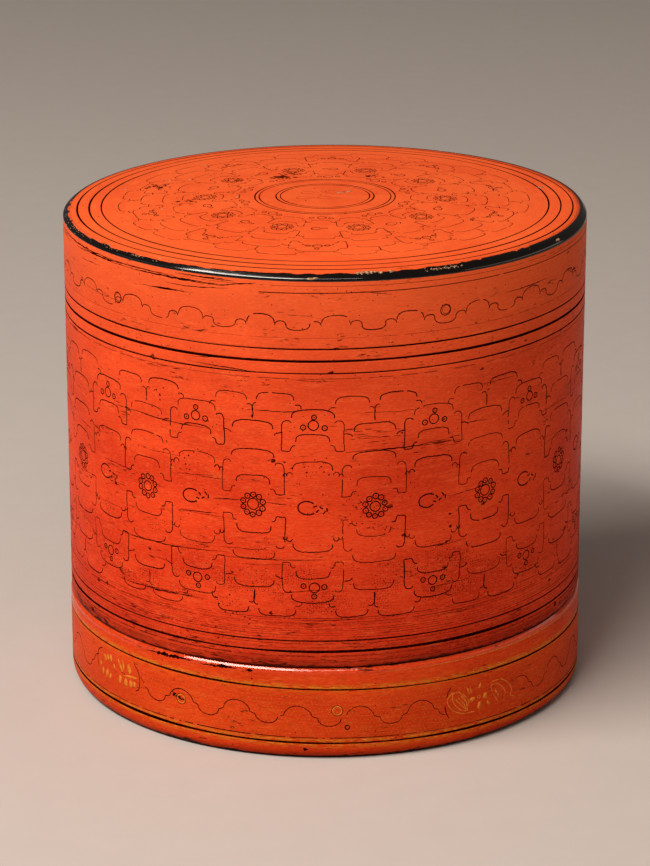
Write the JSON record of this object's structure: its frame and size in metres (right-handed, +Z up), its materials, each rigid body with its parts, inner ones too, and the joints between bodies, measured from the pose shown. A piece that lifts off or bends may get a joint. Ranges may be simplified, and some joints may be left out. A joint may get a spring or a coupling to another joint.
{
  "type": "lacquered betel box",
  "caption": "Round red lacquer betel box: a deep engraved lid with a domed top and black rim lifts off an inner box on a plinth with stacking trays.",
  "frame": {"origin": "middle of the foot, on the surface that the box stands on", "axes": "+Z up along the axis of the box, -Y towards the viewer of the picture"},
  "size_m": [0.2188, 0.2188, 0.2075],
  "materials": {
    "engraved_red_lacquer": "vermilion lacquer over bamboo, polished, with engraved lines and wear",
    "plain_red_lacquer": "plain red lacquer over bamboo, polished",
    "black_lacquer": "glossy black lacquer over bamboo"
  },
  "bodies": {
    "base": {"base_foot_hoop": "engraved_red_lacquer", "base_plinth_band": "engraved_red_lacquer", "base_shoulder_hoop": "engraved_red_lacquer", "box_floor_disc": "black_lacquer", "box_wall": "plain_red_lacquer", "box_mouth_hoop": "black_lacquer"},
    "lower_tray": {"lower_tray_floor_disc": "plain_red_lacquer", "lower_tray_spigot_hoop": "plain_red_lacquer", "lower_tray_band": "plain_red_lacquer", "lower_tray_rim_hoop": "black_lacquer"},
    "upper_tray": {"upper_tray_floor_disc": "plain_red_lacquer", "upper_tray_spigot_hoop": "plain_red_lacquer", "upper_tray_band": "plain_red_lacquer", "upper_tray_rim_hoop": "black_lacquer"},
    "lid": {"lid_mouth_hoop": "engraved_red_lacquer", "lid_wall": "engraved_red_lacquer", "lid_rim_hoop": "black_lacquer", "lid_top_disc": "engraved_red_lacquer"}
  },
  "joints": [
    {"name": "lower_tray_lift", "type": "slide", "parent": "base", "child": "lower_tray", "axis": [0, 0, 1], "range_m": [0, 0.08]},
    {"name": "upper_tray_lift", "type": "slide", "parent": "lower_tray", "child": "upper_tray", "axis": [0, 0, 1], "range_m": [0, 0.08]},
    {"name": "lid_lift", "type": "slide", "parent": "upper_tray", "child": "lid", "axis": [0, 0, 1], "range_m": [0, 0.18]}
  ]
}
